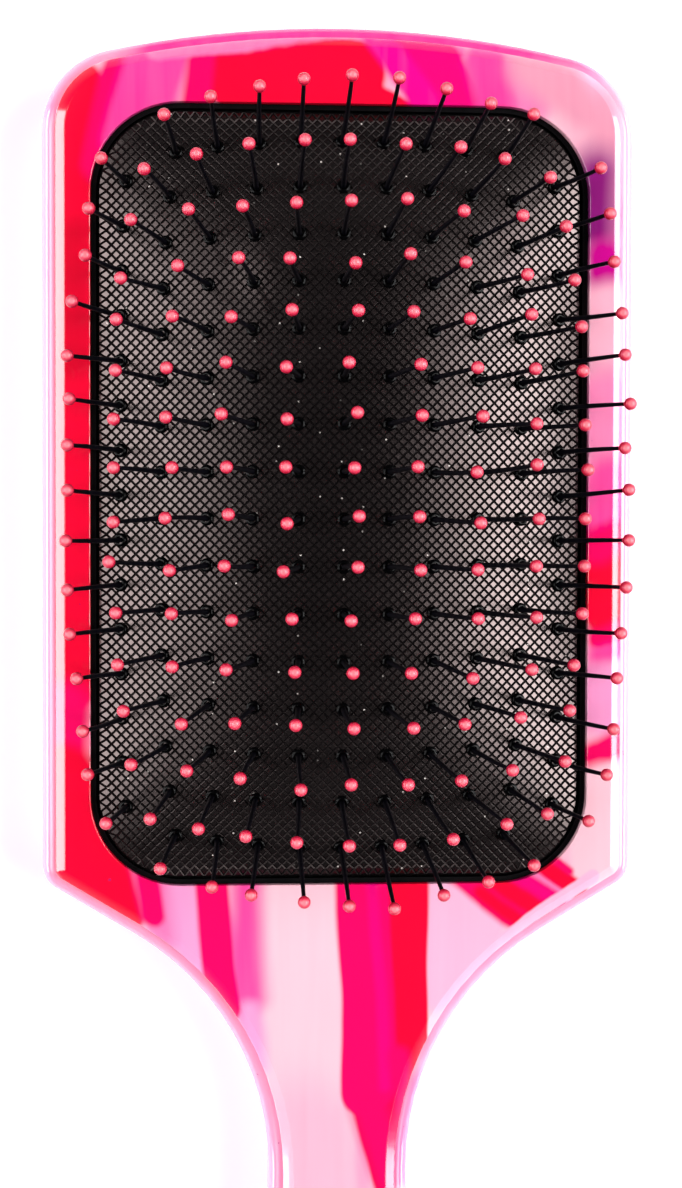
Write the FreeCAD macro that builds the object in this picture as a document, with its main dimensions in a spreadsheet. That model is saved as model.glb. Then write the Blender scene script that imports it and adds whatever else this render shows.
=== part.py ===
"""Paddle hair brush: a two-shell paddle with a rubber air cushion and rows of ball-tipped pins.

Millimetres. +X is across the head, +Y runs from the handle to the head, +Z is the way the pins point.
The origin is at the middle of the flat back, halfway along the length.
"""
import FreeCAD, Part
import math
import os

import Sketcher
from FreeCAD import Placement, Rotation, Vector

os.makedirs("parts", exist_ok=True)
doc = FreeCAD.newDocument("paddle_brush")

# ---------------------------------------------------------------- driving dimensions

DIMENSIONS = {
    # outline of the paddle, seen from the front
    "body_length": 255.0,
    "head_width": 85.0,
    "head_reach": 67.0,  # cushion centre to the top of the head
    "crown_radius": 150.0,  # the gently arched top edge
    "top_corner_radius": 12.0,
    "low_corner_radius": 3.8,
    "low_corner_drop": 53.0,  # cushion centre down to where the lower corners start
    "shoulder_slope": 31.0,  # degrees below square, from the lower corner to the neck
    "neck_sweep_radius": 40.0,
    "neck_width": 20.0,
    "grip_width": 26.6,
    "grip_swell_length": 50.0,
    # section through the two shells
    "back_thickness": 2.2,
    "side_wall": 2.9,
    "parting_height": 11.8,
    "body_thickness": 14.5,
    "back_edge_radius": 5.5,
    "shoulder_radius": 1.9,  # rounded rim of the back shell, seen outside the front shell
    "face_bevel": 1.5,
    # recess for the cushion
    "recess_width": 71.0,
    "recess_length": 111.0,
    "recess_corner": 12.8,
    "tray_gap": 0.1,
    "tray_wall": 1.5,
    "tray_floor": 1.6,
    "tray_top": 10.6,
    # rubber cushion and the ring that holds its flange
    "flange_thickness": 1.0,
    "flange_gap": 0.1,
    "ring_gap": 0.05,
    "ring_height": 1.5,
    "pad_inset": 0.9,  # recess edge to the side of the cushion
    "pad_gap": 0.15,  # ring to the side of the cushion
    "pad_edge_height": 12.6,
    "pad_crown": 7.4,
    "pad_wall": 1.3,
    "boss_radius": 0.85,
    "boss_height": 0.55,
    "hole_radius": 0.46,
    # field of pins
    "column_pitch": 6.36,
    "row_pitch": 6.67,
    "column_pinch": 0.078,  # share by which the end rows draw in
    "row_bow": 0.034,  # share by which the outer columns draw towards the middle
    "edge_offset": 31.2,
    "edge_pitch": 6.32,
    "edge_pinch": 0.022,
    "side_lean": 22.5,  # degrees, at the edge columns
    "side_fade": 0.78,  # share of the side lean lost at the end rows, where the cushion is flatter across
    "end_lean": 18.5,  # degrees, at the end rows
    # one pin and its ball tip
    "pin_length": 18.0,  # cushion surface to the centre of the ball
    "pin_foot_radius": 0.4,
    "pin_neck_radius": 0.25,
    "pin_head_radius": 1.1,
    "pin_head_height": 0.7,
    "pin_head_depth": 1.5,  # cushion surface down to the top of the head
    "ball_radius": 0.88,
}
INNER_COLUMNS = 9
INNER_ROWS = 16
EDGE_ROWS = 15

sheet = doc.addObject("Spreadsheet::Sheet", "dimensions")
for row_number, (alias, value) in enumerate(DIMENSIONS.items(), start=1):
    sheet.set(f"A{row_number}", alias)
    sheet.set(f"B{row_number}", str(value))
    sheet.setAlias(f"B{row_number}", alias)
doc.recompute()


def size(alias):
    """A driving dimension, read from the sheet."""
    return float(sheet.get(alias))


head_half = size("head_width") / 2
neck_half = size("neck_width") / 2
grip_half = size("grip_width") / 2
head_top = size("body_length") / 2
cushion_y = head_top - size("head_reach")
pad_half_width = size("recess_width") / 2 - size("pad_inset")
pad_half_length = size("recess_length") / 2 - size("pad_inset")


# ---------------------------------------------------------------- sketches

def origin_plane(body, role):
    """The body's own origin plane with this role."""
    return next(item for item in body.Origin.OriginFeatures if item.Role == role)


def new_sketch(body, name, role="XY_Plane", height=None):
    """A sketch on one of the body's origin planes, raised to a height given as an expression."""
    sketch = body.newObject("Sketcher::SketchObject", name)
    sketch.AttachmentSupport = [(origin_plane(body, role), "")]
    sketch.MapMode = "FlatFace"
    if height:
        sketch.setExpression(".AttachmentOffset.Base.z", height)
    return sketch


def arc(centre, radius, start, end):
    """An arc from the start angle anticlockwise to the end angle, in degrees."""
    circle = Part.Circle(Vector(centre[0], centre[1], 0), Vector(0, 0, 1), radius)
    return Part.ArcOfCircle(circle, math.radians(start), math.radians(end))


def on_arc(centre, radius, angle):
    """The point of a circle at an angle in degrees."""
    turn = math.radians(angle)
    return centre[0] + radius * math.cos(turn), centre[1] + radius * math.sin(turn)


def segment(first, second):
    """A straight line between two points of the sketch plane."""
    return Part.LineSegment(Vector(first[0], first[1], 0), Vector(second[0], second[1], 0))


def mirrored_arc(centre, radius, start, end):
    """The arc reflected in the long axis of the brush."""
    return arc((-centre[0], centre[1]), radius, 180 - end, 180 - start)


def add_paddle_outline(sketch, inset=0.0):
    """The outline of the paddle, drawn in from its silhouette by a distance.

    Tangent arcs and lines run from the middle of the top edge, round one side, to the end of the grip.
    Every arc keeps its centre when the outline is drawn in, so only the radii change.
    """
    crown = size("crown_radius")
    corner = size("top_corner_radius")
    low = size("low_corner_radius")
    sweep = size("neck_sweep_radius")
    slope = size("shoulder_slope")
    swell = size("grip_swell_length")

    crown_centre = (0.0, head_top - crown)
    corner_x = head_half - corner
    corner_y = crown_centre[1] + math.sqrt((crown - corner) ** 2 - corner_x**2)
    corner_centre = (corner_x, corner_y)
    corner_start = math.degrees(math.atan2(corner_y - crown_centre[1], corner_x))
    low_centre = (head_half - low, cushion_y - size("low_corner_drop"))
    sweep_x = neck_half + sweep
    low_end = on_arc(low_centre, low, slope - 90)
    sweep_lead = sweep * math.sin(math.radians(slope))
    run = low_end[0] - (sweep_x - sweep_lead)
    sweep_y = low_end[1] - run * math.tan(math.radians(slope)) - sweep * math.cos(math.radians(slope))
    sweep_centre = (sweep_x, sweep_y)

    # The neck swells to the grip through two equal arcs that meet at the swell angle.
    swell_angle = 2 * math.degrees(math.atan((grip_half - neck_half) / swell))
    swell_radius = swell / (2 * math.sin(math.radians(swell_angle)))
    flare_centre = (neck_half + swell_radius, sweep_y)
    bulge_centre = (grip_half - swell_radius, sweep_y - swell)
    end_y = grip_half - head_top

    sides = [
        (corner_centre, corner - inset, 0, corner_start),
        (low_centre, low - inset, slope - 90, 0),
        (sweep_centre, sweep + inset, 90 + slope, 180),
        (flare_centre, swell_radius + inset, 180, 180 + swell_angle),
        (bulge_centre, swell_radius - inset, 0, swell_angle),
    ]
    edges = [arc(crown_centre, crown - inset, corner_start, 180 - corner_start)]
    for centre, radius, start, end in sides:
        edges.append(arc(centre, radius, start, end))
        edges.append(mirrored_arc(centre, radius, start, end))
    edges.append(arc((0.0, end_y), grip_half - inset, 180, 360))

    side_x = head_half - inset
    shoulder_top = on_arc(low_centre, low - inset, slope - 90)
    shoulder_foot = on_arc(sweep_centre, sweep + inset, 90 + slope)
    straights = [
        ((side_x, corner_y), (side_x, low_centre[1])),
        (shoulder_top, shoulder_foot),
        ((grip_half - inset, sweep_y - swell), (grip_half - inset, end_y)),
    ]
    for first, second in straights:
        edges.append(segment(first, second))
        edges.append(segment((-first[0], first[1]), (-second[0], second[1])))
    sketch.addGeometry(edges, False)


def add_rounded_rectangle(sketch, name, inset):
    """The recess outline drawn in by an inset expression, with its sizes bound to the sheet."""
    width = f"dimensions.recess_width - 2 * ({inset})"
    length = f"dimensions.recess_length - 2 * ({inset})"
    radius = f"dimensions.recess_corner - ({inset})"
    drawn_in = sketch.evalExpression(inset)
    half_x = size("recess_width") / 2 - drawn_in
    half_y = size("recess_length") / 2 - drawn_in
    corner = size("recess_corner") - drawn_in
    inner_x = half_x - corner
    top = cushion_y + half_y
    bottom = cushion_y - half_y
    first = sketch.GeometryCount
    sketch.addGeometry(
        [
            segment((-inner_x, top), (inner_x, top)),
            arc((inner_x, top - corner), corner, 0, 90),
            segment((half_x, top - corner), (half_x, bottom + corner)),
            arc((inner_x, bottom + corner), corner, 270, 360),
            segment((inner_x, bottom), (-inner_x, bottom)),
            arc((-inner_x, bottom + corner), corner, 180, 270),
            segment((-half_x, bottom + corner), (-half_x, top - corner)),
            arc((-inner_x, top - corner), corner, 90, 180),
        ],
        False,
    )
    for side in range(4):
        line = first + 2 * side
        corner_arc = line + 1
        next_line = first + (2 * side + 2) % 8
        # A clockwise walk meets each anticlockwise arc at its end point first.
        sketch.addConstraint(Sketcher.Constraint("Tangent", line, 2, corner_arc, 2))
        sketch.addConstraint(Sketcher.Constraint("Tangent", corner_arc, 1, next_line, 1))
        if side:
            sketch.addConstraint(Sketcher.Constraint("Equal", first + 1, corner_arc))
    sketch.addConstraint(Sketcher.Constraint("Horizontal", first))
    limits = [
        ("width", Sketcher.Constraint("DistanceX", first + 6, 1, first + 2, 1, 2 * half_x), width),
        ("half", Sketcher.Constraint("DistanceX", -1, 1, first + 2, 1, half_x), f"({width}) / 2"),
        ("length", Sketcher.Constraint("DistanceY", first + 4, 1, first, 1, 2 * half_y), length),
        (
            "top",
            Sketcher.Constraint("DistanceY", -1, 1, first, 1, top),
            f"dimensions.body_length / 2 - dimensions.head_reach + ({length}) / 2",
        ),
        ("corner", Sketcher.Constraint("Radius", first + 1, corner), radius),
    ]
    for word, constraint, expression in limits:
        number = sketch.addConstraint(constraint)
        sketch.renameConstraint(number, f"{name}_{word}")
        sketch.setExpression(f"Constraints.{name}_{word}", expression)


# ---------------------------------------------------------------- PartDesign helpers

def new_body(name):
    """An empty body, labelled with the name of the piece."""
    body = doc.addObject("PartDesign::Body", name)
    body.Label = name
    return body


def add_pad(body, sketch, length):
    """Pads a sketch upwards by a length given as an expression."""
    pad = body.newObject("PartDesign::Pad", f"{body.Name}_{sketch.Name}_pad")
    pad.Profile = sketch
    pad.setExpression("Length", length)
    doc.recompute()
    return pad


def add_pocket(body, sketch, depth):
    """Cuts a sketch downwards by a depth given as an expression."""
    pocket = body.newObject("PartDesign::Pocket", f"{body.Name}_{sketch.Name}_pocket")
    pocket.Profile = sketch
    pocket.setExpression("Length", depth)
    doc.recompute()
    return pocket


def level_edges(feature, height):
    """Names of the edges that lie flat at a height."""
    names = []
    for number, edge in enumerate(feature.Shape.Edges, start=1):
        box = edge.BoundBox
        if abs(box.ZMin - height) < 1e-4 and abs(box.ZMax - height) < 1e-4:
            names.append(f"Edge{number}")
    return names


# ---------------------------------------------------------------- back shell

back_shell = new_body("back_shell")
back_outline = new_sketch(back_shell, "back_outline")
add_paddle_outline(back_outline)
back_block = add_pad(back_shell, back_outline, "dimensions.parting_height")

back_round = back_shell.newObject("PartDesign::Fillet", "back_edge_round")
back_round.Base = (back_block, level_edges(back_block, 0.0))
back_round.setExpression("Radius", "dimensions.back_edge_radius")
doc.recompute()

rim_round = back_shell.newObject("PartDesign::Fillet", "rim_round")
rim_round.Base = (back_round, level_edges(back_round, size("parting_height")))
rim_round.setExpression("Radius", "dimensions.shoulder_radius")
doc.recompute()

back_cavity = new_sketch(back_shell, "back_cavity", height="dimensions.parting_height")
add_paddle_outline(back_cavity, inset=size("side_wall"))
add_pocket(back_shell, back_cavity, "dimensions.parting_height - dimensions.back_thickness")

# ---------------------------------------------------------------- front shell

front_shell = new_body("front_shell")
front_outline = new_sketch(front_shell, "front_outline", height="dimensions.parting_height")
add_paddle_outline(front_outline, inset=size("shoulder_radius"))
front_plate = add_pad(front_shell, front_outline, "dimensions.body_thickness - dimensions.parting_height")

face_bevel = front_shell.newObject("PartDesign::Chamfer", "face_bevel")
face_bevel.Base = (front_plate, level_edges(front_plate, size("body_thickness")))
face_bevel.setExpression("Size", "dimensions.face_bevel")
doc.recompute()

recess_opening = new_sketch(front_shell, "recess_opening", height="dimensions.body_thickness")
add_rounded_rectangle(recess_opening, "recess", "0")
add_pocket(front_shell, recess_opening, "dimensions.body_thickness - dimensions.parting_height + 1")

# ---------------------------------------------------------------- cushion tray

cushion_tray = new_body("cushion_tray")
tray_outline = new_sketch(cushion_tray, "tray_outline", height="dimensions.back_thickness")
add_rounded_rectangle(tray_outline, "tray", "dimensions.tray_gap")
add_pad(cushion_tray, tray_outline, "dimensions.tray_top - dimensions.back_thickness")
tray_well = new_sketch(cushion_tray, "tray_well", height="dimensions.tray_top")
add_rounded_rectangle(tray_well, "well", "dimensions.tray_gap + dimensions.tray_wall")
add_pocket(
    cushion_tray,
    tray_well,
    "dimensions.tray_top - dimensions.back_thickness - dimensions.tray_floor",
)

# ---------------------------------------------------------------- retaining ring

ring_base = "dimensions.tray_top + dimensions.flange_thickness + dimensions.flange_gap"
retaining_ring = new_body("retaining_ring")
ring_outline = new_sketch(retaining_ring, "ring_outline", height=ring_base)
add_rounded_rectangle(ring_outline, "outer", "dimensions.ring_gap")
add_rounded_rectangle(ring_outline, "inner", "dimensions.pad_inset - dimensions.pad_gap")
add_pad(retaining_ring, ring_outline, "dimensions.ring_height")


# ---------------------------------------------------------------- cushion surface and pin field

def pad_height(x, y):
    """Height of the cushion's surface, x and y from its centre: full at the middle, level at the edge."""
    across = 1 - (x / pad_half_width) ** 2
    along = 1 - (y / pad_half_length) ** 4
    return size("pad_edge_height") + size("pad_crown") * across * along


def column_sockets(column):
    """Points where a column's pins leave the cushion, column 0 in the middle, from the cushion centre."""
    half_columns = INNER_COLUMNS // 2
    if abs(column) > half_columns:
        last = (EDGE_ROWS - 1) / 2
        steps = [row - last for row in range(EDGE_ROWS)]
        side = math.copysign(size("edge_offset"), column)
        return [
            (side * (1 - size("edge_pinch") * (step / last) ** 4), step * size("edge_pitch"))
            for step in steps
        ]
    last = (INNER_ROWS - 1) / 2
    steps = [row - last for row in range(INNER_ROWS)]
    bow = 1 - size("row_bow") * (column / half_columns) ** 2
    return [
        (
            column * size("column_pitch") * (1 - size("column_pinch") * (step / last) ** 4),
            step * size("row_pitch") * bow,
        )
        for step in steps
    ]


def pin_direction(x, y):
    """The way a pin points: outwards, as the domed surface faces.

    The side lean fades towards the ends of the cushion, and the end lean towards its sides.
    """
    across = x / size("edge_offset")
    along = y / (size("row_pitch") * (INNER_ROWS - 1) / 2)
    side = size("side_lean") * math.sin(math.pi / 2 * across) * (1 - size("side_fade") * along**2)
    end = size("end_lean") * along**3 * (1 - across**2)
    lean = Vector(math.tan(math.radians(side)), math.tan(math.radians(end)), 1)
    return lean.normalize()


def pin_placement(x, y):
    """Stands a piece drawn along +Z on the cushion's surface."""
    base = Vector(x, y, pad_height(x, y))
    return Placement(base, Rotation(Vector(0, 0, 1), pin_direction(x, y)))


outermost = INNER_COLUMNS // 2 + 1
COLUMNS = range(-outermost, outermost + 1)
all_sockets = [point for column in COLUMNS for point in column_sockets(column)]


# ---------------------------------------------------------------- cushion pad

def dome_block(drop, depth):
    """The space under the cushion's surface, lowered by a drop and reaching down by a depth."""
    margin = 1.5
    across, along = 24, 36
    points = []
    for i in range(across + 1):
        x = (2 * i / across - 1) * (pad_half_width + margin)
        line = []
        for j in range(along + 1):
            y = (2 * j / along - 1) * (pad_half_length + margin)
            line.append(Vector(x, y, pad_height(x, y) - drop))
        points.append(line)
    surface = Part.BSplineSurface()
    surface.interpolate(points)
    return surface.toShape().extrude(Vector(0, 0, -depth))


def recess_prism(inset, low, high):
    """A prism of the recess outline drawn in by an inset, about the cushion centre."""
    half_x = size("recess_width") / 2 - inset
    half_y = size("recess_length") / 2 - inset
    block = Part.makeBox(2 * half_x, 2 * half_y, high - low, Vector(-half_x, -half_y, low))
    uprights = [
        edge for edge in block.Edges if abs(edge.Vertexes[0].Z - edge.Vertexes[-1].Z) > 0.1
    ]
    return block.makeFillet(size("recess_corner") - inset, uprights)


def make_cushion():
    """A thin domed membrane with a side wall, a flange, a boss round each pin and the pin holes."""
    low = size("tray_top")
    high = size("pad_edge_height") + size("pad_crown") + 5
    depth = high - low + 5
    wall = size("pad_wall")
    flange_inset = (size("tray_gap") + size("ring_gap")) / 2 + size("flange_gap")
    inner_inset = size("pad_inset") + wall
    outside = recess_prism(size("pad_inset"), low, high).common(dome_block(0.0, depth))
    flange_top = low + size("flange_thickness")
    flange = recess_prism(flange_inset, low, flange_top)
    inside = recess_prism(inner_inset, low - 1, high).common(dome_block(wall, depth))
    boss = Part.makeCylinder(size("boss_radius"), size("boss_height") + wall / 2, Vector(0, 0, -wall / 2))
    hole = Part.makeCylinder(size("hole_radius"), 4 * wall, Vector(0, 0, -2.5 * wall))
    bosses = []
    holes = []
    for x, y in all_sockets:
        spot = pin_placement(x, y).toMatrix()
        bosses.append(boss.transformed(spot))
        holes.append(hole.transformed(spot))
    shell = outside.fuse([flange] + bosses).cut(inside)
    return shell.cut(holes).removeSplitter()


cushion_pad = doc.addObject("Part::Feature", "cushion_pad")
cushion_pad.Label = "cushion_pad"
cushion_pad.Shape = make_cushion()
cushion_pad.Placement = Placement(Vector(0, cushion_y, 0), Rotation())

# ---------------------------------------------------------------- one pin and one ball tip

pin_pattern = new_body("pin_pattern")
pin_profile = new_sketch(pin_pattern, "pin_profile", role="XZ_Plane")
head_top_z = -size("pin_head_depth")
head_low_z = head_top_z - size("pin_head_height")
neck_z = size("pin_length") - size("ball_radius")
pin_corners = [
    (0, head_low_z),
    (size("pin_head_radius"), head_low_z),
    (size("pin_head_radius"), head_top_z),
    (size("pin_foot_radius"), head_top_z),
    (size("pin_foot_radius"), 0),
    (size("pin_neck_radius"), neck_z),
    (size("pin_neck_radius"), size("pin_length")),
    (0, size("pin_length")),
]
for number, corner in enumerate(pin_corners):
    pin_profile.addGeometry(segment(corner, pin_corners[(number + 1) % len(pin_corners)]), False)
pin_turn = pin_pattern.newObject("PartDesign::Revolution", "pin_turn")
pin_turn.Profile = pin_profile
pin_turn.ReferenceAxis = (pin_profile, ["V_Axis"])
pin_turn.Angle = 360.0
doc.recompute()

# The ball has a blind bore up to its centre, where the top of the pin is seated.
tip_pattern = new_body("tip_pattern")
tip_profile = new_sketch(tip_pattern, "tip_profile", role="XZ_Plane")
ball = size("ball_radius")
bore = size("pin_neck_radius")
ball_z = size("pin_length")
mouth_z = ball_z - math.sqrt(ball**2 - bore**2)
mouth_angle = math.degrees(math.atan2(mouth_z - ball_z, bore))
tip_profile.addGeometry(arc((0, ball_z), ball, mouth_angle, 90), False)
tip_profile.addGeometry(segment((0, ball_z + ball), (0, ball_z)), False)
tip_profile.addGeometry(segment((0, ball_z), (bore, ball_z)), False)
tip_profile.addGeometry(segment((bore, ball_z), (bore, mouth_z)), False)
tip_turn = tip_pattern.newObject("PartDesign::Revolution", "tip_turn")
tip_turn.Profile = tip_profile
tip_turn.ReferenceAxis = (tip_profile, ["V_Axis"])
tip_turn.Angle = 360.0
doc.recompute()


# ---------------------------------------------------------------- columns of pins and of tips

def add_column(name, pattern, column):
    """A column of copies of a pattern, placed at the point about which the column rocks."""
    sockets = column_sockets(column)
    pivot_x = sum(x for x, y in sockets) / len(sockets)
    pivot_z = sum(pad_height(x, y) for x, y in sockets) / len(sockets)
    to_pivot = Placement(Vector(-pivot_x, 0, -pivot_z), Rotation())
    copies = [
        pattern.Shape.transformed((to_pivot * pin_placement(x, y)).toMatrix())
        for x, y in sockets
    ]
    feature = doc.addObject("Part::Feature", name)
    feature.Label = name
    feature.Shape = Part.makeCompound(copies)
    feature.Placement = Placement(Vector(pivot_x, cushion_y, pivot_z), Rotation())
    return feature


pieces = [back_shell, front_shell, cushion_tray, retaining_ring, cushion_pad]
for column in COLUMNS:
    number = column + outermost + 1
    pieces.append(add_column(f"pin_column_{number:02d}", pin_pattern, column))
    pieces.append(add_column(f"tip_column_{number:02d}", tip_pattern, column))

# ---------------------------------------------------------------- check and export

doc.recompute()
for item in doc.Objects:
    if "Invalid" in item.State or "Error" in item.State:
        raise RuntimeError(f"{item.Name} didn't recompute: {item.State}")
for piece in pieces:
    shape = piece.Shape
    if shape.isNull() or not shape.isValid():
        raise RuntimeError(f"{piece.Label} has no valid shape")
    if not all(solid.isValid() and solid.Volume > 0 for solid in shape.Solids):
        raise RuntimeError(f"{piece.Label} has a bad solid")
    shape.exportStep(f"parts/{piece.Label}.step")
    print(f"{piece.Label}: {len(shape.Solids)} solid, {shape.Volume:.1f} mm3")
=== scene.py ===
import math
import random

import bmesh
import bpy
from mathutils import Matrix, Vector


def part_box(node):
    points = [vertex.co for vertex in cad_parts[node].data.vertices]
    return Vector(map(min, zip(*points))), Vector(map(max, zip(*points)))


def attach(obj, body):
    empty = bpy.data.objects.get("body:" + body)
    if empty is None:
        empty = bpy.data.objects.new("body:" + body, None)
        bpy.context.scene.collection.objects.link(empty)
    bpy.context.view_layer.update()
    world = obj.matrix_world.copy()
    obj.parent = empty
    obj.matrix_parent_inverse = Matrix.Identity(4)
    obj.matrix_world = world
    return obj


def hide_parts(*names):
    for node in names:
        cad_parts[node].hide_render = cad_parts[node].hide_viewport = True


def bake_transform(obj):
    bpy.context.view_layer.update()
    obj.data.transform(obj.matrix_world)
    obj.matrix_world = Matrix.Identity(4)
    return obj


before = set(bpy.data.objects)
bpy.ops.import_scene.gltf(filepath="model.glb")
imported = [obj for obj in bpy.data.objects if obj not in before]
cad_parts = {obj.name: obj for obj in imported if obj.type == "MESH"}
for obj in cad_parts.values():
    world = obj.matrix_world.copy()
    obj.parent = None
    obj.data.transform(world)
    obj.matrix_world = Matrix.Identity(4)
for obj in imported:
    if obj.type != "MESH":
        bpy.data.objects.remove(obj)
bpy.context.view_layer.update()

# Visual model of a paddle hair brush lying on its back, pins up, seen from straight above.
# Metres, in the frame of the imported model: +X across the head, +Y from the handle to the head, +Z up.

MM = 0.001
SCENE = bpy.context.scene
random.seed(7)

# ---------------------------------------------------------------- sizes read from the frame

ring_low, ring_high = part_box("retaining_ring")
front_low, front_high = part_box("front_shell")
back_low, back_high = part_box("back_shell")
pad_low, pad_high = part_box("cushion_pad")

CUSHION_Y = (pad_low.y + pad_high.y) / 2
FACE_Z = front_high.z
PARTING_Z = front_low.z
HEAD_TOP = back_high.y
HEAD_HALF = back_high.x
RECESS_HALF_X = ring_high.x + 0.05 * MM
RECESS_HALF_Y = (ring_high.y - ring_low.y) / 2 + 0.05 * MM
RECESS_CORNER = 12.8 * MM

# Outline of the paddle, as the shells are drawn.
CROWN_RADIUS = 150 * MM
TOP_CORNER = 12 * MM
LOW_CORNER = 3.8 * MM
LOW_CORNER_Y = CUSHION_Y - 53 * MM
SHOULDER_SLOPE = 31
SWEEP_RADIUS = 40 * MM
NECK_HALF = 10 * MM
GRIP_HALF = 13.3 * MM
SWELL_LENGTH = 50 * MM

# Section through the shells.
BACK_ROUND = 5.5 * MM
RIM_ROUND = HEAD_HALF - front_high.x
FACE_BEVEL = 1.5 * MM
BEVEL_EASE = 0.42 * MM  # the worn bevel is a little flatter than 45 degrees
SHELL_WALL = 2.9 * MM
BACK_WALL = 2.2 * MM
PARTING_GAP = 0.07 * MM

# Rubber cushion.
PAD_INSET = 0.9 * MM
PAD_HALF_X = RECESS_HALF_X - PAD_INSET
PAD_HALF_Y = RECESS_HALF_Y - PAD_INSET
PAD_CORNER = RECESS_CORNER - PAD_INSET
PAD_EDGE_Z = pad_low.z + 2.0 * MM
PAD_CROWN = 7.4 * MM
PAD_WALL = 1.2 * MM
KNURL_PITCH = 0.98 * MM
KNURL_HEIGHT = 0.15 * MM
KNURL_MARGIN = 0.22 * MM
KNURL_FLAT = 0.64  # of a pyramid's width
LIP_ROUND = 0.42 * MM

# Pins, their rubber collars and their ball tips.
PIN_ROOT = 2.2 * MM  # how far it reaches down under the surface of the cushion
PIN_HEAD = 1.1 * MM  # radius of its head under the membrane
PIN_HEAD_THICK = 0.7 * MM
PIN_FOOT = 0.40 * MM  # radius at the cushion
PIN_NECK = 0.27 * MM  # radius at the ball
COLLAR_RADIUS = 1.0 * MM
COLLAR_HEIGHT = 0.70 * MM
COLLAR_ROUND = 0.34 * MM
COLLAR_FOOT = 0.5 * MM  # how far it reaches down into the cushion
WELL_FLOOR = 0.1 * MM  # above the surface of the cushion
WELL_GAP_TOP = 0.16 * MM  # round the pin
WELL_GAP_FLOOR = 0.08 * MM
BALL_RADIUS = 0.88 * MM
PIN_WANDER = 0.34 * MM  # spread of the balls' places round the ones in the frame
PIN_BOW = 0.12 * MM
COLLAR_SIDES = 18
PIN_SIDES = 14
BALL_SIDES = 22


# ---------------------------------------------------------------- mesh helpers

def turn_outward(mesh):
    """Turns every face of a mesh the same way round, outward where the mesh is closed."""
    work = bmesh.new()
    work.from_mesh(mesh)
    bmesh.ops.recalc_face_normals(work, faces=work.faces[:])
    work.to_mesh(mesh)
    work.free()


def add_piece(name, points, faces, material, crease=35):
    """A mesh object with smooth faces and edges sharper than the crease angle left crisp."""
    mesh = bpy.data.meshes.new(name)
    mesh.from_pydata([tuple(point) for point in points], [], faces)
    mesh.validate()
    turn_outward(mesh)
    mesh.shade_smooth()
    mesh.set_sharp_from_angle(angle=math.radians(crease))
    mesh.materials.append(material)
    piece = bpy.data.objects.new(name, mesh)
    SCENE.collection.objects.link(piece)
    return piece


def loft(rings, points, faces):
    """Joins rings of equally many points with quads.

    Returns the point numbers of the first ring and those of the last.
    """
    first = len(points)
    count = len(rings[0])
    for ring in rings:
        points.extend(ring)
    for step in range(len(rings) - 1):
        low = first + step * count
        high = low + count
        for i in range(count):
            j = (i + 1) % count
            faces.append((low + i, low + j, high + j, high + i))
    last = len(points) - count
    return list(range(first, first + count)), list(range(last, last + count))


def fill_between(points, outer, inner=()):
    """Triangles that fill a flat outer loop, less an inner loop. Loops are lists of point numbers."""
    work = bmesh.new()
    number_of = {}
    for loop in (outer, inner):
        verts = [work.verts.new(points[number]) for number in loop]
        number_of.update(zip(verts, loop))
        for i, vert in enumerate(verts):
            work.edges.new((vert, verts[(i + 1) % len(verts)]))
    filled = bmesh.ops.triangle_fill(work, use_beauty=True, edges=work.edges[:])
    triangles = [
        tuple(number_of[vert] for vert in face.verts)
        for face in filled["geom"]
        if isinstance(face, bmesh.types.BMFace)
    ]
    work.free()
    return triangles


def rounded_profile(corners, radius, steps=4):
    """A polyline of (inset, height) points with its inner corners rounded."""
    rounded = [Vector(corners[0])]
    for before, corner, after in zip(corners, corners[1:], corners[2:]):
        corner = Vector(corner)
        towards = (Vector(before) - corner).normalized()
        away = (Vector(after) - corner).normalized()
        reach = radius / math.tan(max(towards.angle(away) / 2, 0.2))
        start, end = corner + towards * reach, corner + away * reach
        for step in range(steps + 1):
            t = step / steps
            rounded.append(start * (1 - t) ** 2 + corner * 2 * t * (1 - t) + end * t**2)
    rounded.append(Vector(corners[-1]))
    return rounded


# ---------------------------------------------------------------- outline of the paddle

class OutlinePoint:
    """A point of the outline that knows its arc, so that it can be drawn in by any inset."""

    def __init__(self, centre, radius, bulge, angle, middle, half_turn):
        self.centre = Vector(centre)
        self.radius = radius
        self.bulge = bulge
        self.out = Vector((math.cos(angle), math.sin(angle)))
        self.middle = Vector((math.cos(middle), math.sin(middle)))
        self.half_turn = half_turn

    def drawn_in(self, inset, mirror):
        """The point at this inset. An arc with nothing left of it becomes a sharp corner."""
        left = self.radius - self.bulge * inset
        if left > 0:
            place = self.centre + self.out * left
        else:
            place = self.centre + self.middle * (left / math.cos(self.half_turn))
        return Vector((-place.x if mirror else place.x, place.y))


def arc_samples(centre, radius, bulge, start, end):
    """Points along an arc, in degrees, at most 5 degrees and 4 mm apart."""
    turn = abs(end - start)
    count = max(2, math.ceil(turn / 5), math.ceil(math.radians(turn) * radius / (4 * MM)))
    middle = math.radians((start + end) / 2)
    return [
        OutlinePoint(
            centre,
            radius,
            bulge,
            math.radians(start + (end - start) * i / count),
            middle,
            math.radians(turn / 2),
        )
        for i in range(count + 1)
    ]


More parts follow.
